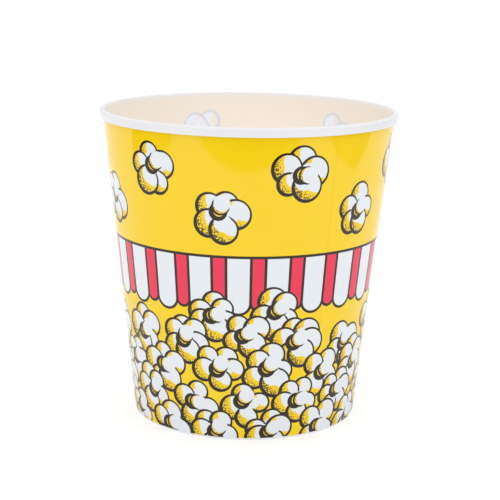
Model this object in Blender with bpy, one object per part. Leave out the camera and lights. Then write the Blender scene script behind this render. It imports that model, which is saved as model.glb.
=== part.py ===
"""A large reusable popcorn bucket: a white moulded plastic tub and the printed film round its wall.

The tub is turned about Z and stands on Z = 0. Its film lies in a shallow pocket of the wall, which
brings the film flush with the bare plastic of the foot.
"""

from math import cos, pi, radians, sin

import bpy

MM = 0.001

# Driving dimensions of the tub.
RIM_DIAMETER = 184 * MM
BASE_DIAMETER = 139.4 * MM
HEIGHT = 191.5 * MM
WALL_THICKNESS = 1.0 * MM
FLOOR_THICKNESS = 1.4 * MM

# The rim is a band that stands proud of the wall, hollow underneath so that it is as thin as the wall.
RIM_HEIGHT = 5.4 * MM
RIM_PROUD = 2.1 * MM
RIM_ROUND = 1.2 * MM
RIM_LIP = 0.9 * MM
RIM_HOLLOW = 3.4 * MM
RIM_EDGE_ROUND = 0.3 * MM

# The foot is a ring that lifts the floor panel clear of the table.
FOOT_HEIGHT = 2.4 * MM
FOOT_WIDTH = 3.4 * MM
FOOT_ROUND = 1.0 * MM
FOOT_INNER_ROUND = 0.5 * MM
CORNER_ROUND = 3.0 * MM

# The printed film and the clearance that keeps it a solid of its own.
FILM_THICKNESS = 0.1 * MM
FILM_GAP = 0.3 * MM
FILM_BOTTOM = 1.3 * MM
FILM_BEHIND_RIM = 0.9 * MM

# Values that follow from those above.
RIM_RADIUS = RIM_DIAMETER / 2
RIM_UNDERSIDE = HEIGHT - RIM_HEIGHT
WALL_TOP_RADIUS = RIM_RADIUS - RIM_PROUD
BASE_RADIUS = BASE_DIAMETER / 2
TAPER = (WALL_TOP_RADIUS - BASE_RADIUS) / RIM_UNDERSIDE
POCKET_DEPTH = FILM_THICKNESS + FILM_GAP
FLOOR_TOP = FOOT_HEIGHT + FLOOR_THICKNESS
FILM_TOP = RIM_UNDERSIDE + FILM_BEHIND_RIM

SEGMENTS_ROUND = 96
MERGE_DISTANCE = 0.00005


def outside_radius(z):
    """Radius of the cone that the film and the bare foot share, at height z."""
    return BASE_RADIUS + TAPER * z


def pocket_radius(z):
    """Radius of the plastic behind the film."""
    return outside_radius(z) - POCKET_DEPTH


def inside_radius(z):
    """Radius of the cone that the popcorn fills."""
    return pocket_radius(z) - WALL_THICKNESS


def arc(centre_r, centre_z, radius, start, end, steps):
    """Points of an arc in the (radius, height) plane, from start to end, both in degrees."""
    points = []
    for step in range(steps + 1):
        angle = radians(start + (end - start) * step / steps)
        points.append((centre_r + radius * cos(angle), centre_z + radius * sin(angle)))
    return points


def floor_and_inner_wall():
    """From the middle of the floor out to the corner and up the inside of the wall."""
    corner_r = inside_radius(FLOOR_TOP + CORNER_ROUND) - CORNER_ROUND
    corner_z = FLOOR_TOP + CORNER_ROUND
    return [(0.0, FLOOR_TOP)] + arc(corner_r, corner_z, CORNER_ROUND, -90, 0, 5)


def rim_band():
    """Over the top of the rim, down its outer face and up into the hollow underneath."""
    top_z = HEIGHT - RIM_ROUND
    bottom_z = RIM_UNDERSIDE + RIM_EDGE_ROUND
    hollow_roof = RIM_UNDERSIDE + RIM_HOLLOW
    lip_inner_r = RIM_RADIUS - RIM_LIP
    points = arc(inside_radius(top_z) + RIM_ROUND, top_z, RIM_ROUND, 180, 90, 4)
    points += arc(RIM_RADIUS - RIM_ROUND, top_z, RIM_ROUND, 90, 0, 4)
    points += arc(RIM_RADIUS - RIM_EDGE_ROUND, bottom_z, RIM_EDGE_ROUND, 0, -90, 2)
    points += [(lip_inner_r, RIM_UNDERSIDE), (lip_inner_r, hollow_roof)]
    points += [(pocket_radius(hollow_roof), hollow_roof)]
    return points


def pocket_and_foot():
    """Down the pocket behind the film, out to the bare foot and round it to the middle of the base."""
    pocket_end = FILM_BOTTOM - FILM_GAP
    foot_inner_r = BASE_RADIUS - FOOT_WIDTH
    inner_z = FOOT_INNER_ROUND
    points = [(pocket_radius(pocket_end), pocket_end)]
    points += arc(outside_radius(FOOT_ROUND) - FOOT_ROUND, FOOT_ROUND, FOOT_ROUND, 0, -90, 3)
    points += arc(foot_inner_r + FOOT_INNER_ROUND, inner_z, FOOT_INNER_ROUND, 270, 180, 2)
    points += [(foot_inner_r, FOOT_HEIGHT), (0.0, FOOT_HEIGHT)]
    return points


def film_section():
    """Closed section of the film, down its outside and up its inside."""
    return [
        (outside_radius(FILM_TOP), FILM_TOP),
        (outside_radius(FILM_BOTTOM), FILM_BOTTOM),
        (outside_radius(FILM_BOTTOM) - FILM_THICKNESS, FILM_BOTTOM),
        (outside_radius(FILM_TOP) - FILM_THICKNESS, FILM_TOP),
    ]


def plastic(name, colour, roughness):
    """A Principled BSDF material for a plastic surface."""
    material = bpy.data.materials.new(name)
    material.use_nodes = True
    shader = material.node_tree.nodes["Principled BSDF"]
    shader.inputs["Base Color"].default_value = (*colour, 1.0)
    shader.inputs["Roughness"].default_value = roughness
    shader.inputs["Metallic"].default_value = 0.0
    return material


def turned(name, section, closed, material):
    """An object turned about Z from its section, a list of (radius, height) points."""
    edges = [(i, i + 1) for i in range(len(section) - 1)]
    if closed:
        edges.append((len(section) - 1, 0))
    mesh = bpy.data.meshes.new(name)
    mesh.from_pydata([(r, 0.0, z) for r, z in section], edges, [])
    mesh.materials.append(material)
    piece = bpy.data.objects.new(name, mesh)
    bpy.context.scene.collection.objects.link(piece)
    screw = piece.modifiers.new("Turn", "SCREW")
    screw.axis = "Z"
    screw.angle = 2 * pi
    screw.steps = SEGMENTS_ROUND
    screw.render_steps = SEGMENTS_ROUND
    screw.use_merge_vertices = True
    screw.merge_threshold = MERGE_DISTANCE
    screw.use_smooth_shade = True
    return piece


def main():
    for stale in list(bpy.data.objects):
        bpy.data.objects.remove(stale)
    white = plastic("white plastic", (0.84, 0.85, 0.87), 0.35)
    yellow = plastic("printed film", (0.91, 0.62, 0.03), 0.2)
    tub_section = floor_and_inner_wall() + rim_band() + pocket_and_foot()
    turned("bucket", tub_section, False, white)
    turned("label", film_section(), True, yellow)


main()
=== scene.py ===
# %% [markdown]
# # A printed popcorn bucket
# A large reusable popcorn bucket is one thin tub of white, slightly see-through plastic. A printed film is
# laid in the mould before the plastic is shot, so the print covers the whole outside of the wall and can't
# peel off. Here the tub and the film are two pieces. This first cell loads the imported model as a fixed
# frame: its two solids say where everything is, and the pieces made below take their places from it.

# %% Load the frame
import random
from cmath import rect
from math import cos, pi, radians, sin, tau
from typing import NamedTuple

import bpy
import numpy as np
from mathutils import Matrix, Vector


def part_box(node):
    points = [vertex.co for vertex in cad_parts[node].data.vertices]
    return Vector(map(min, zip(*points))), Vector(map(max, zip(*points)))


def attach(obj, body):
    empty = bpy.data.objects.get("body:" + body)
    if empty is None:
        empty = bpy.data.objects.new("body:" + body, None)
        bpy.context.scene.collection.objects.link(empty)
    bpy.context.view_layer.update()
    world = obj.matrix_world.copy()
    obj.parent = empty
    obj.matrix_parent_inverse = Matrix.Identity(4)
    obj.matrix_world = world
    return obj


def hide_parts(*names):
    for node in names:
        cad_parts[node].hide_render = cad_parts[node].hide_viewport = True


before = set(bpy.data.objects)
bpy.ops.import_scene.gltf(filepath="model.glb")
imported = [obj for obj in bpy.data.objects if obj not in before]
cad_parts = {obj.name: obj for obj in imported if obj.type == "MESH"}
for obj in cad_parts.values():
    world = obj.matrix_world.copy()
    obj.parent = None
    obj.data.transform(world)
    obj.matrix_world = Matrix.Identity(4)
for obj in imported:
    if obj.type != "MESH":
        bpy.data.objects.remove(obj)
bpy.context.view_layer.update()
MM = 0.001

# %% [markdown]
# ## The camera
# A product shot of a bucket is taken from about arm's length with a long lens, a little above the rim, so
# that the mouth shows as a flat ellipse and the wall hardly tapers from perspective. The camera looks along
# +Y and down. It was held very slightly out of level, which the last turn about its own axis repeats.

# %% Add the camera
CAMERA_PLACE = (2.1 * MM, -930.8 * MM, 306.2 * MM)
CAMERA_TILT_DOWN = radians(12.395)
CAMERA_ROLL = radians(0.99)
CAMERA_LENS = 108.68

bpy.ops.object.camera_add()
camera = bpy.context.object
camera.data.sensor_width = 36.0
camera.data.lens = CAMERA_LENS
aim = Matrix.Rotation(pi / 2 - CAMERA_TILT_DOWN, 4, "X") @ Matrix.Rotation(CAMERA_ROLL, 4, "Z")
camera.matrix_world = Matrix.Translation(CAMERA_PLACE) @ aim
bpy.context.scene.camera = camera
print("camera with a", CAMERA_LENS, "mm lens, at", CAMERA_PLACE)

# %% [markdown]
# ## Measures
# The frame gives the outer sizes: the tub's box is its rim and its height, and the film's box is where the
# print begins and ends. The wall is a straight cone, so its radius at two heights gives it everywhere. What
# no box shows, such as the rounds of the rim, is named here in millimetres, as it is on a drawing.

# %% Read the sizes from the frame
tub_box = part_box("bucket")
film_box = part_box("label")
HEIGHT = tub_box[1].z
RIM_RADIUS = tub_box[1].x
FILM_BOTTOM = film_box[0].z
FILM_TOP = film_box[1].z


def close_to(value, wanted):
    """Whether two lengths are the same, to a hundredth of a millimetre."""
    return abs(value - wanted) < 0.01 * MM


def radius_at(node, height):
    """Largest radius of a CAD node at a height where it has a ring of corners."""
    corners = (v.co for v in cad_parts[node].data.vertices)
    return max(co.xy.length for co in corners if close_to(co.z, height))


FILM_BOTTOM_RADIUS = radius_at("label", FILM_BOTTOM)
TAPER = (radius_at("label", FILM_TOP) - FILM_BOTTOM_RADIUS) / (FILM_TOP - FILM_BOTTOM)


def face_radius(height):
    """Radius of the cone that the face of the film and the bare foot share."""
    return FILM_BOTTOM_RADIUS + TAPER * (height - FILM_BOTTOM)


print(f"rim {2 * RIM_RADIUS / MM:.1f} mm across, {HEIGHT / MM:.1f} mm tall, taper {TAPER:.4f}")

# %% Name the sizes that no box shows
FILM_THICKNESS = 0.1 * MM
GLUE_LINE = 0.02 * MM
WALL_DEPTH = 1.4 * MM
FLOOR_TOP = 3.8 * MM
FLOOR_RINGS = (2 * MM, 24 * MM)
CORNER_ROUND = 3.0 * MM
RIM_HEIGHT = 5.4 * MM
RIM_ROUND = 1.2 * MM
RIM_LIP = 0.9 * MM
RIM_HOLLOW = 3.4 * MM
RIM_EDGE_ROUND = 0.3 * MM
FOOT_HEIGHT = 2.4 * MM
FOOT_WIDTH = 3.4 * MM
FOOT_ROUND = 1.0 * MM
FOOT_INNER_ROUND = 0.5 * MM
FOOT_CHAMFER = 0.3 * MM
MARK_RADII = (46 * MM, 26 * MM)
MARK_WIDTH = 3.0 * MM
MARK_SLOPE = 0.6 * MM
MARK_DEPTH = 0.3 * MM

wall_thickness = WALL_DEPTH - FILM_THICKNESS - GLUE_LINE
print(f"wall {wall_thickness / MM:.2f} mm thick, film {FILM_THICKNESS / MM:.1f} mm thick")

# %% [markdown]
# ## The tub
# The real tub comes out of a turned steel mould, so it is the same all the way round. Spinning a section
# would make it in one step, but drawing a ring out step by step follows the plastic as a hand would: a small
# disc is added in the middle of the floor, and its edge is extruded and scaled out to the corner, up the
# wall, over the rim, down the outside and round the foot to the gate mark under the middle. The inner wall
# is one long step, which is then cut into rows, because the print that shows through it is noted face by
# face, and small faces need fewer notes.

# %% Lay out the inside and the rim
def arc(middle, radius, start, end, steps):
    """Points of an arc in the (radius, height) plane, from start to end, both in degrees."""
    turns = [radians(start + (end - start) * step / steps) for step in range(steps + 1)]
    return [(middle[0] + radius * cos(turn), middle[1] + radius * sin(turn)) for turn in turns]


def inside_of_tub():
    """Across the floor and up to where the straight inner wall begins."""
    corner_top = FLOOR_TOP + CORNER_ROUND
    corner_middle = (face_radius(corner_top) - WALL_DEPTH - CORNER_ROUND, corner_top)
    floor = [(radius, FLOOR_TOP) for radius in FLOOR_RINGS]
    return floor + arc(corner_middle, CORNER_ROUND, -90, 0, 8)


def back_radius(height):
    """Radius of the plastic behind the film."""
    return face_radius(height) - FILM_THICKNESS - GLUE_LINE


def rim_of_tub():
    """From the top of the inner wall over the rim and up into the hollow under it."""
    top = HEIGHT - RIM_ROUND
    underside = HEIGHT - RIM_HEIGHT
    roof = underside + RIM_HOLLOW
    edge_middle = (RIM_RADIUS - RIM_EDGE_ROUND, underside + RIM_EDGE_ROUND)
    points = arc((face_radius(top) - WALL_DEPTH + RIM_ROUND, top), RIM_ROUND, 180, 90, 8)
    points += arc((RIM_RADIUS - RIM_ROUND, top), RIM_ROUND, 90, 0, 8)
    points += arc(edge_middle, RIM_EDGE_ROUND, 0, -90, 4)
    points += [(RIM_RADIUS - RIM_LIP, underside), (RIM_RADIUS - RIM_LIP, roof)]
    return points + [(back_radius(roof), roof)]


print(len(inside_of_tub()), "rings inside,", len(rim_of_tub()), "round the rim")


# %% Lay out the outside, the foot and the underside
def ring_marks_under_floor():
    """Two shallow grooves round the middle, which stiffen the floor panel."""
    points = []
    for radius in MARK_RADII:
        inner = radius - MARK_WIDTH
        points += [(radius + MARK_SLOPE, FOOT_HEIGHT), (radius, FOOT_HEIGHT + MARK_DEPTH)]
        points += [(inner + MARK_SLOPE, FOOT_HEIGHT + MARK_DEPTH), (inner, FOOT_HEIGHT)]
    return points


def gate_mark():
    """The dimple with a clipped stub in it, where the plastic was shot into the mould."""
    dimple = FOOT_HEIGHT + 0.5 * MM
    stub = FOOT_HEIGHT - 0.2 * MM
    points = [(6.5 * MM, FOOT_HEIGHT), (5.5 * MM, dimple), (1.6 * MM, dimple)]
    return points + [(1.4 * MM, stub), (0.8 * MM, stub - 0.05 * MM)]


def outside_of_tub():
    """Down behind the film, out to the bare foot, round it and in under the floor to the gate mark."""
    ledge = FILM_BOTTOM - GLUE_LINE
    foot_inner = face_radius(0) - FOOT_WIDTH
    points = [(back_radius(ledge), ledge), (face_radius(ledge), ledge)]
    points += arc((face_radius(FOOT_ROUND) - FOOT_ROUND, FOOT_ROUND), FOOT_ROUND, 0, -90, 5)
    points += arc((foot_inner + FOOT_INNER_ROUND, FOOT_INNER_ROUND), FOOT_INNER_ROUND, 270, 180, 4)
    points += [(foot_inner, FOOT_HEIGHT - FOOT_CHAMFER), (foot_inner - FOOT_CHAMFER, FOOT_HEIGHT)]
    return points + ring_marks_under_floor() + gate_mark()


tub_section = inside_of_tub() + rim_of_tub() + outside_of_tub()
print(len(tub_section), "rings from the middle of the floor to the gate mark")

# %% Helpers for working in edit mode
MERGE_DISTANCE = 0.002 * MM
CREASE = radians(35)


def select_edges(piece, wanted):
    """Selects the edges whose two ends pass the test, and leaves the piece in edit mode."""
    bpy.ops.object.mode_set(mode="EDIT")
    bpy.ops.mesh.select_mode(type="EDGE")
    bpy.ops.mesh.select_all(action="DESELECT")
    bpy.ops.object.mode_set(mode="OBJECT")
    corners = piece.data.vertices
    for edge in piece.data.edges:
        edge.select = wanted(*(corners[index].co for index in edge.vertices))
    bpy.ops.object.mode_set(mode="EDIT")


def draw_out(section):
    """Extrudes the selected ring from the section's first point to its last, ring by ring."""
    for (radius, height), (next_radius, next_height) in zip(section, section[1:]):
        bpy.ops.mesh.extrude_region_move(TRANSFORM_OT_translate={"value": (0, 0, next_height - height)})
        growth = next_radius / radius
        bpy.ops.transform.resize(value=(growth, growth, 1), center_override=(0, 0, 0))


def add_ring(name, point, segments, fill):
    """Adds a circle at a section's point, its origin on the bucket's, and opens it in edit mode."""
    bpy.ops.object.select_all(action="DESELECT")
    bpy.ops.mesh.primitive_circle_add(vertices=segments, radius=point[0], fill_type=fill)
    piece = bpy.context.object
    piece.name = name
    bpy.ops.object.mode_set(mode="EDIT")
    bpy.ops.transform.translate(value=(0, 0, point[1]))
    return piece


def finish_mesh(piece):
    """Merges doubles, points the faces outwards and shades smooth up to the angle of a crease."""
    bpy.ops.object.mode_set(mode="EDIT")
    bpy.ops.mesh.select_all(action="SELECT")
    bpy.ops.mesh.remove_doubles(threshold=MERGE_DISTANCE)
    bpy.ops.mesh.normals_make_consistent(inside=False)
    bpy.ops.object.mode_set(mode="OBJECT")
    bpy.ops.object.shade_smooth_by_angle(angle=CREASE)
    triangles = sum(len(face.vertices) - 2 for face in piece.data.polygons)
    print(piece.name, len(piece.data.vertices), "corners,", triangles, "triangles")


# %% Draw the tub out ring by ring
TUB_SEGMENTS = 384
INNER_WALL_CUTS = 95

tub = add_ring("tub", tub_section[0], TUB_SEGMENTS, "TRIFAN")
bpy.ops.mesh.region_to_loop()
draw_out(tub_section)
bpy.ops.mesh.merge(type="CENTER")

wall_start = inside_of_tub()[-1]
wall_end = rim_of_tub()[0]


def runs_up_inner_wall(a, b):
    low, high = sorted((a, b), key=lambda end: end.z)
    full_height = close_to(low.z, wall_start[1]) and close_to(high.z, wall_end[1])
    return full_height and close_to(low.xy.length, wall_start[0])


select_edges(tub, runs_up_inner_wall)
bpy.ops.mesh.subdivide(number_cuts=INNER_WALL_CUTS)
finish_mesh(tub)

# %% [markdown]
# ## The film
# The film is a sheet a tenth of a millimetre thick, cut to the wall's curve and wrapped once round, so that
# its ends lap over each other by a couple of millimetres. It is drawn out ring by ring like the tub, closed
# at its lower edge by a bridge, and cut into fine rows, because its faces hold the notes of the print. The
# lap is two columns of corners, a shade further out, which catches the light as a faint upright line.

# %% Draw the film out
FILM_SEGMENTS = 560
FILM_CUTS = 85
LAP_TURN = radians(-55)
LAP_RISE = 0.03 * MM
COLUMN = tau / FILM_SEGMENTS

film_middle = (FILM_BOTTOM + FILM_TOP) / 2
film_section = [(face_radius(z), z) for z in (FILM_BOTTOM, film_middle, FILM_TOP)]
film_section += [(face_radius(z) - FILM_THICKNESS, z) for z in (FILM_TOP, FILM_BOTTOM)]

film = add_ring("print_film", film_section[0], FILM_SEGMENTS, "NOTHING")
draw_out(film_section)


def lies_on_lower_edge(a, b):
    return close_to(a.z, FILM_BOTTOM) and close_to(b.z, FILM_BOTTOM)


def runs_up_film_face(a, b):
    low, high = sorted((a, b), key=lambda end: end.z)
    return high.z - low.z > MM and close_to(low.xy.length, face_radius(low.z))


select_edges(film, lies_on_lower_edge)
bpy.ops.mesh.bridge_edge_loops()
select_edges(film, runs_up_film_face)
bpy.ops.mesh.subdivide(number_cuts=FILM_CUTS)


# %% Raise the lap and finish the film
def turn_from_lap(place):
    """How far round from the lap's middle a place is, in radians, from -pi to pi."""
    turn = np.arctan2(place[1], place[0]) - LAP_TURN
    return (turn + pi) % tau - pi


def lies_on_lap(a, b):
    on_face = all(end.xy.length > face_radius(end.z) - FILM_THICKNESS / 2 for end in (a, b))
    return on_face and all(abs(turn_from_lap(end)) < COLUMN for end in (a, b))


select_edges(film, lies_on_lap)
lap_growth = 1 + LAP_RISE / face_radius(film_middle)
bpy.ops.transform.resize(value=(lap_growth, lap_growth, 1), center_override=(0, 0, 0))
finish_mesh(film)


# %% [markdown]
# ## Flat maps
# To keep its colours as a picture, a surface needs a flat map of itself. Blender can cut one out of any
# mesh, but a turned shape has a perfect one of its own: once round is the map's whole width, and the way
# along the section is its height. The width of both maps starts at the lap, where the real film has its ends
# too. The film's face is nearly three times as long as it is tall, and its print is fine. So it is laid in
# two bands, half a turn in each, which keeps the print about as sharp sideways as it is upwards. The film's
# thin edges and its back share a narrow strip at the bottom, because nobody sees them.


# %% Helpers for flat maps
def for_each_corner(mesh, face_values):
    """Repeats what is known of each face for every corner of the face."""
    return np.repeat(face_values, [face.loop_total for face in mesh.polygons], axis=0)


def corner_turns(mesh, places):
    """How far round from the lap each face corner and its face's middle are, as shares of the turn."""
    corners = np.array([loop.vertex_index for loop in mesh.loops])
    middles = for_each_corner(mesh, [face.center for face in mesh.polygons])
    middle_turns = turn_from_lap(middles.T) % tau
    steps = (turn_from_lap(places[corners].T) - middle_turns + pi) % tau - pi
    return corners, (middle_turns + steps) / tau, middle_turns / tau


def lay_map(piece, across, up):
    """Stores a flat map on a piece."""
    flat = np.stack([across, up], 1).clip(0, 1).astype(np.float32)
    piece.data.uv_layers.new(name="OFBake").uv.foreach_set("vector", flat.ravel())
    print(piece.name, "map goes from", flat.min(0).round(3), "to", flat.max(0).round(3))


def places_of(piece):
    """The corners of a piece as rows of x, y and z."""
    return np.array([corner.co for corner in piece.data.vertices])


# %% Map the film in two bands and a strip
BAND_MARGIN = 0.006
STRIP = 0.03
STRIP_FILLED = 0.8
STRIP_EDGES = 0.1


def in_band(share):
    """Draws a share of a band's width or height in from its edges, so that the bands keep apart."""
    return BAND_MARGIN + (1 - 2 * BAND_MARGIN) * share


def map_film():
    """The face of the film fills two bands above the strip. Its edges and its back lie in the strip."""
    mesh, places = film.data, places_of(film)
    corners, across, middle = corner_turns(mesh, places)
    up = (places[corners, 2] - FILM_BOTTOM) / (FILM_TOP - FILM_BOTTOM)
    depth = (face_radius(places[:, 2]) - np.hypot(places[:, 0], places[:, 1])) / FILM_THICKNESS
    faces_behind = [max(depth[v] for v in face.vertices) > 0.5 for face in mesh.polygons]
    behind = for_each_corner(mesh, faces_behind)
    band = np.floor(2 * middle)
    up_band = STRIP + (1 - STRIP) * (band + in_band(up)) / 2
    up_strip = STRIP * STRIP_FILLED * (up + STRIP_EDGES * depth[corners] * (1 - 2 * up))
    across_band = in_band(2 * across - band)
    lay_map(film, np.where(behind, across, across_band), np.where(behind, up_strip, up_band))


map_film()


# %% Map the tub along its section
def map_tub():
    """Height on the map is the way along the section from the middle of the floor."""
    mesh, places = tub.data, places_of(tub)
    corners, across, _ = corner_turns(mesh, places)
    section = np.array([(0, FLOOR_TOP)] + tub_section + [(0, tub_section[-1][1])])
    ends = np.stack([section[:-1], section[1:]], 1)
    steps = ends[:, 1] - ends[:, 0]
    lengths = np.hypot(*steps.T)
    point = np.stack([np.hypot(places[:, 0], places[:, 1]), places[:, 2]], 1)[:, None]
    share = (((point - ends[:, 0]) * steps).sum(2) / lengths**2).clip(0, 1)
    missed = np.hypot(*np.moveaxis(point - ends[:, 0] - share[..., None] * steps, 2, 0))
    nearest = missed.argmin(1)
    way = lengths.cumsum()[nearest] - lengths[nearest] * (1 - share[np.arange(len(places)), nearest])
    lay_map(tub, across, (way / lengths.sum())[corners])


map_tub()

# %% [markdown]
# ## The print
# The print is flat colour inside dark outlines. A picture of it can't be used here, and its edges must stay
# sharp close up, so it is drawn by the material itself. The design is a plain one of its own, in the colours
# that such buckets have: loose puffs of popped corn in a ring, a striped awning, and a heap of puffs below.
#
# A puff is a cluster of round swellings, and a sign painter draws it with overlapping discs, back to front.
# Each disc has an ink outline, heavier on its shaded side. A disc with no ink only joins others together,
# and one with a broad outline makes a dark pocket behind the next. So four numbers say all about a disc,
# and the whole print is a list of them, rolled with seeded dice.


# %% Roll the dice for the puffs
class Disc(NamedTuple):
    """A disc on the wall: its turn and height, its radius, and the width of the ink round it."""

    turn: float
    height: float
    radius: float
    ink: float


OUTLINE = 1.65 * MM
POCKET_INK = 2.2 * MM
WAY_SHIFT = 0.18
SWELLING_RADIUS = (0.34, 0.50)
SWELLING_PLACE = (0.46, 0.60)


def disc_by(turn, height, size, place, radius, ink):
    """A disc at a place beside a puff's middle. Place and radius are shares of the puff's size."""
    up = height + size * place.imag
    return Disc(turn + size * place.real / face_radius(up), up, size * radius, ink)


def roll_puff(dice, turn, height, size, count):
    """One puff: a ring of swellings, back ones first, then a dark pocket behind a last swelling."""
    start = dice.uniform(0, tau)
    ways = [start + tau * (i + dice.uniform(-WAY_SHIFT, WAY_SHIFT)) / count for i in range(count)]
    puff = []
    for way in sorted(ways, key=lambda way: -sin(way)):
        radius, place = dice.uniform(*SWELLING_RADIUS), rect(dice.uniform(*SWELLING_PLACE), way)
        puff.append(disc_by(turn, height, size, place, radius, OUTLINE))
        puff.append(disc_by(turn, height, size, 0.55 * place, 0.72 * radius, 0))
    pocket = complex(dice.uniform(-0.15, 0.10), dice.uniform(-0.10, 0.15))
    way = dice.uniform(-0.2, 1.2)
    puff.append(disc_by(turn, height, size, pocket, 0.20, POCKET_INK))
    puff.append(disc_by(turn, height, size, pocket + rect(0.20, way), 0.27, 0.6 * OUTLINE))
    puff.append(disc_by(turn, height, size, pocket + rect(0.30, way), 0.30, 0))
    return puff


print(len(roll_puff(random.Random(0), 0, 0, MM, 5)), "discs draw a puff of five swellings")

# %% Plan the whole print
PRINT_SEED = 11
RING_COUNT = 12
RING_START = radians(-130)
RING_HEIGHTS = (164 * MM, 140 * MM)
RING_SIZE = 16.5 * MM
HEAP_COUNT = 14
HEAP_ROWS = (80 * MM, 62 * MM, 43 * MM, 24 * MM, 5 * MM)
HEAP_SIZES = (14.0, 16.5)
MOUND_SHARES = (0, 0.7, 0.3, 0, 0)


def mound(turn):
    """How much higher the heap is piled at some turns than at others."""
    return (6 * sin(3 * turn + 0.9) + 4 * sin(5 * turn + 2.4)) * MM


def plan_print(dice):
    """All the discs of the print, in the order they are laid: the ring of puffs, then the heap."""
    discs = []
    for i in range(RING_COUNT):
        turn = RING_START + tau * i / RING_COUNT
        discs += roll_puff(dice, turn, RING_HEIGHTS[i % 2], RING_SIZE, 5)
    for row, row_height in enumerate(HEAP_ROWS):
        for i in range(HEAP_COUNT):
            turn = tau * (i + 0.5 * (row % 2) + dice.uniform(-0.08, 0.08)) / HEAP_COUNT
            height = row_height + dice.uniform(-2, 2) * MM
            size, count = dice.uniform(*HEAP_SIZES) * MM, dice.choice((4, 5, 5, 6))
            if row == 0 and mound(turn) < 1 * MM:
                continue
            height += mound(turn) * MOUND_SHARES[row]
            discs += roll_puff(dice, turn, height, size, count)
    return discs


discs = plan_print(random.Random(PRINT_SEED))
print(len(discs), "discs in the print")

# %% [markdown]
# A material can't go through a list of hundreds of discs at every point it colours. But the mesh is cut
# into faces of a millimetre or two, and hardly any of those needs more than six discs. So each face gets a
# note of its own six, lowest first, and the material only has to draw those. When a disc covers a face
# altogether, what lay under it is struck off the note. The ink round a disc is shifted a little towards the
# shaded side, so it reaches further there than its own width.

# %% Note the discs on each face
NOTES = 6
NO_DISC = Disc(0, -1, 0, 0)
INK_SHIFT = 0.35
HALF_DIAGONAL = 0.75


def note_discs(piece, blur):
    """Gives each face of a piece its discs, as colour attributes that hold four numbers each."""
    middles = np.array([face.center for face in piece.data.polygons])
    turns, heights = np.arctan2(middles[:, 1], middles[:, 0]), middles[:, 2]
    radii = face_radius(heights)
    sides = np.array([face.area for face in piece.data.polygons]) ** 0.5
    reach = HALF_DIAGONAL * sides + blur
    notes = np.full((len(middles), NOTES, 4), NO_DISC, float)
    used = np.zeros(len(middles), int)
    for disc in discs:
        across = ((turns - disc.turn + pi) % tau - pi) * radii
        away = np.hypot(across, heights - disc.height)
        touched = np.nonzero(away < disc.radius + (1 + INK_SHIFT) * disc.ink + reach)[0]
        covered = touched[away[touched] + reach[touched] < disc.radius]
        notes[covered], used[covered] = NO_DISC, 0
        full = touched[used[touched] == NOTES]
        notes[full, :-1] = notes[full, 1:]
        used[full] -= 1
        notes[touched, used[touched]] = disc
        used[touched] += 1
    for number in range(NOTES):
        made = piece.data.attributes.new(f"disc {number}", "FLOAT_COLOR", "FACE")
        made.data.foreach_set("color", notes[:, number].astype(np.float32).ravel())
    print(piece.name, "faces by number of discs noted:", np.bincount(used))


SHARP = 0.10 * MM
SEEN_THROUGH = 0.75 * MM
note_discs(film, SHARP)
note_discs(tub, SEEN_THROUGH)

# %% Mark where the film backs the inner wall
FADE_IN = 6 * MM
FADE_OUT = 3 * MM
BARE_TOP = 0.3 * MM

places = places_of(tub)
radii = np.hypot(places[:, 0], places[:, 1])
on_inner_wall = (radii < back_radius(places[:, 2]) - WALL_DEPTH / 2) & (places[:, 2] > FLOOR_TOP)
fade_in = np.clip((places[:, 2] - FLOOR_TOP) / FADE_IN, 0, 1)
fade_out = np.clip((HEIGHT - BARE_TOP - places[:, 2]) / FADE_OUT, 0, 1)
marks = tub.data.attributes.new("backed", "FLOAT", "POINT")
marks.data.foreach_set("value", (on_inner_wall * fade_in * fade_out).astype(np.float32))
print(int(on_inner_wall.sum()), "corners of the inner wall have the film behind them")

# %% [markdown]
# ## A short way to write materials
# A material is a web of nodes. Written out one by one the sums in it can't be read, so a small class wraps a
# node's output: adding or multiplying two of them adds the Math node that does it. Every other kind of node
# comes from one method, which sets the node's settings and then fills its sockets.


# %% Wrap what comes out of a node
class Value:
    """What comes out of a node. Sums and products of values add the Math nodes that work them out."""

    def __init__(self, nodes, socket):
        self.nodes = nodes
        self.socket = socket

    def maths(self, operation, *terms):
        """Adds a Math node with this value as its first term."""
        terms = dict(enumerate((self, *terms)))
        return self.nodes.add("ShaderNodeMath", {"operation": operation}, terms)

    def __add__(self, other):
        return self.maths("ADD", other)

    def __sub__(self, other):
        return self.maths("SUBTRACT", other)

    def __rsub__(self, other):
        return (self * -1).maths("ADD", other)

    def __mul__(self, other):
        return self.maths("MULTIPLY", other)

    def __abs__(self):
        return self.maths("ABSOLUTE")

    __radd__ = __add__
    __rmul__ = __mul__


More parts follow.
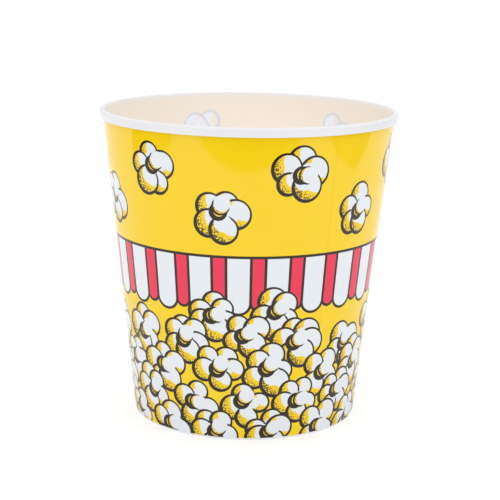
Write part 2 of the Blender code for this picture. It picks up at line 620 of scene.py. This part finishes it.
# %% Wrap a web of nodes
class Nodes:
    """The nodes of a material or of the world."""

    def __init__(self, owner):
        owner.use_nodes = True
        self.tree = owner.node_tree

    def add(self, kind, settings=None, values=None, out=0):
        """Adds a node, sets its settings, fills its sockets, and gives one output or a list of them."""
        node = self.tree.nodes.new(kind)
        for name, setting in (settings or {}).items():
            setattr(node, name, setting)
        self.fill(node, values or {})
        if isinstance(out, list):
            return [Value(self, node.outputs[name]) for name in out]
        return Value(self, node.outputs[out])

    def fill(self, node, values):
        """Links or sets a node's sockets, by name or by number."""
        for name, value in values.items():
            if isinstance(value, Value):
                self.tree.links.new(value.socket, node.inputs[name])
            else:
                node.inputs[name].default_value = value

    def spread(self, value, start, end, low, high):
        """Low at the start and high at the end, with a straight slope between and level beyond."""
        values = {0: value, 1: start, 2: end, 3: low, 4: high}
        return self.add("ShaderNodeMapRange", {}, values)

    def inside(self, distance, blur):
        """1 inside a shape and 0 outside it, from the distance to its edge, with a blur each way."""
        return self.spread(distance, blur, -blur, 0.0, 1.0)

    def blend(self, share, under, over):
        """A share of one colour over another."""
        return self.add("ShaderNodeMix", {"data_type": "RGBA"}, {0: share, 6: under, 7: over}, 2)

    def noise(self, place, scale, detail):
        """Soft cloudy noise, from 0 to 1."""
        return self.add("ShaderNodeTexNoise", {}, {"Vector": place, "Scale": scale, "Detail": detail})

    def point(self, across, up):
        """A flat place as a vector."""
        return self.add("ShaderNodeCombineXYZ", {}, {0: across, 1: up})

    def vector(self, operation, values, out=0):
        """One step of sums with vectors."""
        return self.add("ShaderNodeVectorMath", {"operation": operation}, values, out)

    def object_place(self):
        """Where a point is on its piece, as a vector."""
        return self.add("ShaderNodeTexCoord", out="Object")

    def parts(self, place):
        """The x, y and z of a vector."""
        return self.add("ShaderNodeSeparateXYZ", {}, {0: place}, ["X", "Y", "Z"])

    def bump(self, height, depth):
        """A surface that stands out by up to a depth."""
        return self.add("ShaderNodeBump", {}, {"Strength": 1.0, "Distance": depth, "Height": height})


# %% Start colours and finishes
def colour(red, green, blue):
    """A colour from display values, 0 to 255, in the linear light that materials work in."""
    parts = (x / 255 for x in (red, green, blue))
    return (*(x / 12.92 if x <= 0.04045 else ((x + 0.055) / 1.055) ** 2.4 for x in parts), 1.0)


def new_finish(name, **constants):
    """A material with the constant values of its Principled shader set, its nodes and the shader."""
    material = bpy.data.materials.new(name)
    nodes = Nodes(material)
    shader = nodes.tree.nodes["Principled BSDF"]
    nodes.fill(shader, constants)
    return material, nodes, shader


print(f"display grey 128 is {colour(128, 128, 128)[0]:.3f} of full white in linear light")

# %% [markdown]
# ## Drawing the print in a material
# Both finishes need the print: the film shows it sharp, and the tub shows its shadow through the plastic. So
# it is drawn by functions that take a set of inks and a blur. Every shape comes from a distance to its edge,
# below zero inside, and a blend that switches over at zero. The awning repeats all round, so the material
# works it out from the turn and the height. The discs come from each face's notes.

# %% Draw the awning
AWNING_LOW = 87 * MM
AWNING_HIGH = 115 * MM
AWNING_PAIRS = 22
WHITE_SHARE = 0.63


class Inks(NamedTuple):
    """The colours of the print."""

    ground: object
    white: tuple
    red: tuple
    puff: tuple
    gold: tuple
    dot: tuple
    line: tuple


def paint_awning(nodes, turn, height, blur, inks):
    """Red and white panels over the ground, each ended by a half round and edged by a line."""
    picture = inks.ground
    outlines = []
    pair_width = face_radius(height) * (tau / AWNING_PAIRS)
    below = AWNING_LOW - height
    for ink, start, share in ((inks.white, 0, WHITE_SHARE), (inks.red, WHITE_SHARE, 1 - WHITE_SHARE)):
        along = (turn * (AWNING_PAIRS / tau) + (0.5 - start - share / 2)).maths("FRACT")
        across = (along - 0.5) * pair_width
        half = pair_width * (share / 2)
        round_end = nodes.vector("LENGTH", {0: nodes.point(across, below)}, 1) - half
        straight = (abs(across) - half).maths("MAXIMUM", below)
        panel = straight.maths("MINIMUM", round_end).maths("MAXIMUM", height - AWNING_HIGH)
        picture = nodes.blend(nodes.inside(panel, blur), picture, ink)
        outlines.append(abs(panel) - OUTLINE / 2)
    outline = outlines[0].maths("MINIMUM", outlines[1])
    return nodes.blend(nodes.inside(outline, blur), picture, inks.line)


print(AWNING_PAIRS, "pairs, each", round(tau * face_radius(AWNING_LOW) / AWNING_PAIRS / MM, 1), "mm wide")

# %% Draw the discs of a face's notes
SHADED_SIDE = (-0.80, -0.60, 0.0)
LEAST_INK = 0.1 * MM
LIT_SHIFT = -0.9
LIT_RADIUS = 1.05
DOT_PITCH = 1.25 * MM
DOT_BLUR = 0.08
DOTS_BEGIN = -0.9 * MM
DOTS_FULL = 5 * MM
DOT_RADII = (-0.1, 0.47)


def paint_disc(nodes, name, turn, height, dots, blur, inks, picture):
    """One disc over the picture: its ink, its puff, and gold with dark dots on the shaded side."""
    numbers, ink = nodes.add("ShaderNodeAttribute", {"attribute_name": name}, {}, ["Color", "Alpha"])
    disc_turn, disc_height, radius = nodes.add("ShaderNodeSeparateColor", {}, {0: numbers}, [0, 1, 2])
    across = (turn - disc_turn).maths("WRAP", pi, -pi) * face_radius(height)
    place = nodes.point(across, height - disc_height)

    def from_middle(shift):
        """Distance from the disc's middle, once that has been shifted towards the shaded side."""
        middle = nodes.vector("SCALE", {0: SHADED_SIDE, "Scale": shift})
        return nodes.vector("DISTANCE", {0: place, 1: middle}, 1)

    inked = nodes.spread(ink, 0.0, LEAST_INK, 0.0, 1.0)
    outer = from_middle(ink * INK_SHIFT) - radius - ink
    inner = nodes.inside(nodes.vector("LENGTH", {0: place}, 1) - radius, blur)
    unlit = from_middle(radius * LIT_SHIFT) - radius * LIT_RADIUS
    picture = nodes.blend(nodes.inside(outer, blur) * inked, picture, inks.line)
    picture = nodes.blend(inner, picture, inks.puff)
    picture = nodes.blend(nodes.inside(unlit * -1, blur) * inner * inked, picture, inks.gold)
    dot_radius = nodes.spread(unlit, DOTS_BEGIN, DOTS_FULL, *DOT_RADII)
    dot = nodes.inside(dots - dot_radius, DOT_BLUR) * inner * inked
    return nodes.blend(dot, picture, inks.dot)


print(f"dots {DOT_PITCH / MM} mm apart, ink shifted by {INK_SHIFT:.0%} of its width")


# %% Draw the whole print
def paint_print(nodes, blur, inks):
    """The whole print: the awning, then the discs noted on the face, lowest first."""
    x, y, height = nodes.parts(nodes.object_place())
    turn = y.maths("ARCTAN2", x)
    from_lap = (turn - LAP_TURN).maths("WRAP", tau, 0)
    flat_place = nodes.point(from_lap * face_radius(film_middle), height)
    settings = {"voronoi_dimensions": "2D"}
    scale = {"Vector": flat_place, "Scale": 1 / DOT_PITCH, "Randomness": 0.8}
    dots = nodes.add("ShaderNodeTexVoronoi", settings, scale)
    picture = paint_awning(nodes, turn, height, blur, inks)
    for number in range(NOTES):
        picture = paint_disc(nodes, f"disc {number}", turn, height, dots, blur, inks, picture)
    return picture


# %% [markdown]
# ## The film's finish
# The inks lie under clear gloss: a golden yellow ground, cool white for puffs and panels, the same yellow in
# the shaded part of a puff with dark dots over it, a bright red and a warm near-black line. The mould is
# polished, so the gloss mirrors with sharp edges, and only a faint ripple bends them. Where the film laps,
# two layers of ink show as a slightly deeper yellow.

# %% Mix the film's finish
LAP_WIDTH = 1.6 * MM
LAP_BLUR = 0.5 * MM
LAP_SHARE = 0.5
COOL_WHITE = colour(226, 231, 236)

film_finish, nodes, shader = new_finish("gloss film", IOR=1.47)
here = nodes.object_place()
cloud = nodes.noise(here, 38.0, 3.0)
ground = nodes.blend(cloud, colour(243, 205, 19), colour(246, 209, 25))
x, y, height = nodes.parts(here)
from_lap = abs((y.maths("ARCTAN2", x) - LAP_TURN).maths("WRAP", pi, -pi)) * face_radius(height)
lap = nodes.inside(from_lap - LAP_WIDTH / 2, LAP_BLUR)
film_inks = Inks(
    ground=nodes.blend(lap * LAP_SHARE, ground, colour(240, 197, 10)),
    white=COOL_WHITE,
    red=colour(233, 50, 82),
    puff=COOL_WHITE,
    gold=colour(244, 205, 24),
    dot=colour(88, 72, 30),
    line=colour(40, 30, 12),
)
ripple = nodes.noise(here, 40.0, 1.0)
peel = nodes.noise(here, 700.0, 2.0)
surface = {
    "Base Color": paint_print(nodes, SHARP, film_inks),
    "Roughness": nodes.spread(nodes.noise(here, 60.0, 4.0), 0.3, 0.7, 0.04, 0.08),
    "Normal": nodes.bump(ripple + peel * 0.01, 0.015 * MM),
}
nodes.fill(shader, surface)
film.data.materials.append(film_finish)
print("the film's finish has", len(nodes.tree.nodes), "nodes")

# %% [markdown]
# ## The tub's finish
# White polypropylene is satin, a little see-through and never quite even. From inside, the film glows
# through a millimetre of it: cream behind yellow, cooler white behind puffs, faint grey lines. The same
# functions draw that with paler inks, and with edges blurred by the plastic's own thickness.

# %% Mix the tub's finish
SEEN_WHITE = colour(232, 235, 243)

tub_finish, nodes, shader = new_finish("white polypropylene", IOR=1.49)
here = nodes.object_place()
cloud = nodes.noise(here, 30.0, 3.0)
plastic = nodes.blend(cloud, colour(231, 232, 235), colour(235, 235, 239))
cream = nodes.blend(cloud, colour(237, 227, 215), colour(240, 230, 218))
seen_inks = Inks(
    ground=cream,
    white=SEEN_WHITE,
    red=colour(241, 212, 214),
    puff=SEEN_WHITE,
    gold=colour(238, 228, 215),
    dot=colour(234, 224, 212),
    line=colour(206, 213, 222),
)
backed = nodes.add("ShaderNodeAttribute", {"attribute_name": "backed"}, out="Fac")
grain = nodes.noise(here, 1400.0, 2.0)
wave = nodes.noise(here, 40.0, 1.0)
surface = {
    "Base Color": nodes.blend(backed, plastic, paint_print(nodes, SEEN_THROUGH, seen_inks)),
    "Roughness": nodes.spread(nodes.noise(here, 80.0, 4.0), 0.3, 0.7, 0.29, 0.38),
    "Normal": nodes.bump(grain * 0.4 + wave, 0.02 * MM),
}
nodes.fill(shader, surface)
tub.data.materials.append(tub_finish)
print("the tub's finish has", len(nodes.tree.nodes), "nodes")

# %% [markdown]
# ## Floor and room
# The bucket stands on a plain white floor in a bright, even studio. Such a floor is often lit from below,
# through white acrylic, until it is as bright as the wall behind it and the edge between them goes.
# Here the floor glows a little for the same reason. A great white ball round the bucket closes the view, and
# hides where the floor ends. Only the camera sees that ball, so it lights nothing and shows in no gloss.

# %% Lay the floor
FLOOR_REACH = 20
FLOOR_GREY = 214
FLOOR_GLOW = 0.4
WHITE = (1.0, 1.0, 1.0, 1.0)


def add_flat(name, height, corners, finish):
    """A flat white shape from its corners in order, kept apart from the object."""
    bpy.ops.object.select_all(action="DESELECT")
    bpy.ops.mesh.primitive_circle_add(vertices=len(corners), fill_type="NGON")
    flat = bpy.context.object
    flat.name = name
    for vertex, (x, y) in zip(flat.data.vertices, corners):
        vertex.co = (x, y, height)
    flat.data.materials.append(finish)
    return flat


floor_finish, nodes, shader = new_finish("lit acrylic", Roughness=0.9)
glow = {"Emission Color": WHITE, "Emission Strength": FLOOR_GLOW}
nodes.fill(shader, {"Base Color": colour(FLOOR_GREY, FLOOR_GREY, FLOOR_GREY), **glow})
floor_finish.cycles.emission_sampling = "NONE"
low, high = -FLOOR_REACH, FLOOR_REACH
floor = add_flat("floor", 0, ((low, low), (high, low), (high, high), (low, high)), floor_finish)
floor.visible_glossy = False
print(floor.name, "reaches", FLOOR_REACH, "m each way")

# %% Close the room round the floor
ROOM_RADIUS = 15

room_finish, nodes, shader = new_finish("white room", Roughness=1.0)
nodes.fill(shader, {"Emission Color": WHITE, "Emission Strength": 1.0})
room_finish.cycles.emission_sampling = "NONE"
bpy.ops.object.select_all(action="DESELECT")
bpy.ops.mesh.primitive_uv_sphere_add(segments=32, ring_count=16, radius=ROOM_RADIUS)
room = bpy.context.object
room.name = "room round the floor"
room.data.materials.append(room_finish)
room.visible_diffuse = room.visible_glossy = room.visible_shadow = False
room.visible_transmission = room.visible_volume_scatter = False
print(room.name, "has", len(room.data.polygons), "faces")

# %% [markdown]
# ## What the gloss mirrors
# Gloss shows what stands round it, and surroundings that are white all over leave it looking chalky. In a
# real studio the white table ends, and the room beyond it is dim. The floor here has no such end, so it is
# hidden from gloss, which gets a table of its own instead, and two boards beside that: flat white cards that
# only gloss sees. Their outlines settle where the bright parts of the gloss end. Past them it mirrors the
# dim half of the sky, below the horizon.

# %% Lay the table and the boards for mirrors
CARD_HEIGHT = 0.2 * MM
CARD_WHITE = 250
TABLE_LEFT = ((-2.20, 3.0), (-1.0, 0.11), (-0.63, 0.11), (-0.64, 0.0), (-0.60, -0.12), (-0.51, -0.31))
TABLE_FRONT = ((-0.34, -0.48), (-0.14, -0.497), (0.10, -0.50), (0.20, -0.49), (0.36, -0.455))
TABLE_RIGHT = ((0.56, -0.275), (0.575, -0.10), (0.59, 0.0), (0.68, 0.15), (0.95, 0.45), (1.60, 3.0))
BOARD_LEFT = ((-0.34, -0.48), (-0.51, -0.31), (-0.85, -0.50), (-0.55, -0.85))
BOARD_RIGHT = ((0.36, -0.455), (0.60, -0.90), (0.95, -0.45), (0.56, -0.275))

card_finish, nodes, shader = new_finish("white card", Roughness=0.9)
nodes.fill(shader, {"Base Color": colour(CARD_WHITE, CARD_WHITE, CARD_WHITE)})
table = TABLE_LEFT + TABLE_FRONT + TABLE_RIGHT
for name, corners in (("table", table), ("left board", BOARD_LEFT), ("right board", BOARD_RIGHT)):
    card = add_flat(f"{name} for mirrors", CARD_HEIGHT, corners, card_finish)
    card.visible_camera = card.visible_diffuse = card.visible_shadow = False
    card.visible_transmission = card.visible_volume_scatter = False
    print(card.name, "has", len(card.data.vertices), "corners")

# %% [markdown]
# ## Light
# Light comes from all round, and more of it from above, so nothing throws a hard shadow. It comes from the
# sky of the world and not from lamps, because a lamp shows in gloss as a spot. The lower half of that sky is
# the dim room, which is brighter on the right. Last, thin white plastic lets some daylight into the tub. A
# lamp inside, with no glare of its own, stands for that.

# %% Light the sky
SKY_LOW, SKY_HIGH = 0.67, 1.35
DIM_LEFT, DIM_RIGHT = 0.04, 0.22
DIM_SPAN = (0.3, 0.9)

world = bpy.data.worlds.new("studio")
bpy.context.scene.world = world
nodes = Nodes(world)
across, _, height = nodes.parts(nodes.add("ShaderNodeTexCoord", out="Generated"))
above = height.maths("GREATER_THAN", 0.0)
sky = nodes.spread(height, 0.0, 1.0, SKY_LOW, SKY_HIGH) * above
sky = sky + nodes.spread(across, *DIM_SPAN, DIM_LEFT, DIM_RIGHT) * (1 - above)
nodes.fill(nodes.tree.nodes["Background"], {"Color": WHITE, "Strength": sky})
bpy.context.scene.view_settings.view_transform = "Standard"
print("sky", SKY_LOW, "at the horizon,", SKY_HIGH, "overhead")

# %% Put a lamp inside for the light that the plastic lets through
LAMP_PLACE = (0, 20 * MM, 165 * MM)
LAMP_RADIUS = 30 * MM
LAMP_WATTS = 0.046

bpy.ops.object.light_add(type="POINT", radius=LAMP_RADIUS, location=LAMP_PLACE)
lamp = bpy.context.object
lamp.name = "light through the wall"
lamp.data.energy = LAMP_WATTS
lamp.visible_camera = lamp.visible_glossy = False
print(lamp.name, "gives", LAMP_WATTS, "watts")

# %% [markdown]
# ## Riding on the root
# Each piece says which body it moves with, and the frame's solid that it stands for is hidden. The film and
# the tub are one rigid thing, so both ride on the root.

# %% Ride on the root and hide the frame's solids
for piece, node, slot in ((tub, "bucket", "white_plastic"), (film, "label", "printed_film")):
    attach(piece, "root")
    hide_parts(node)
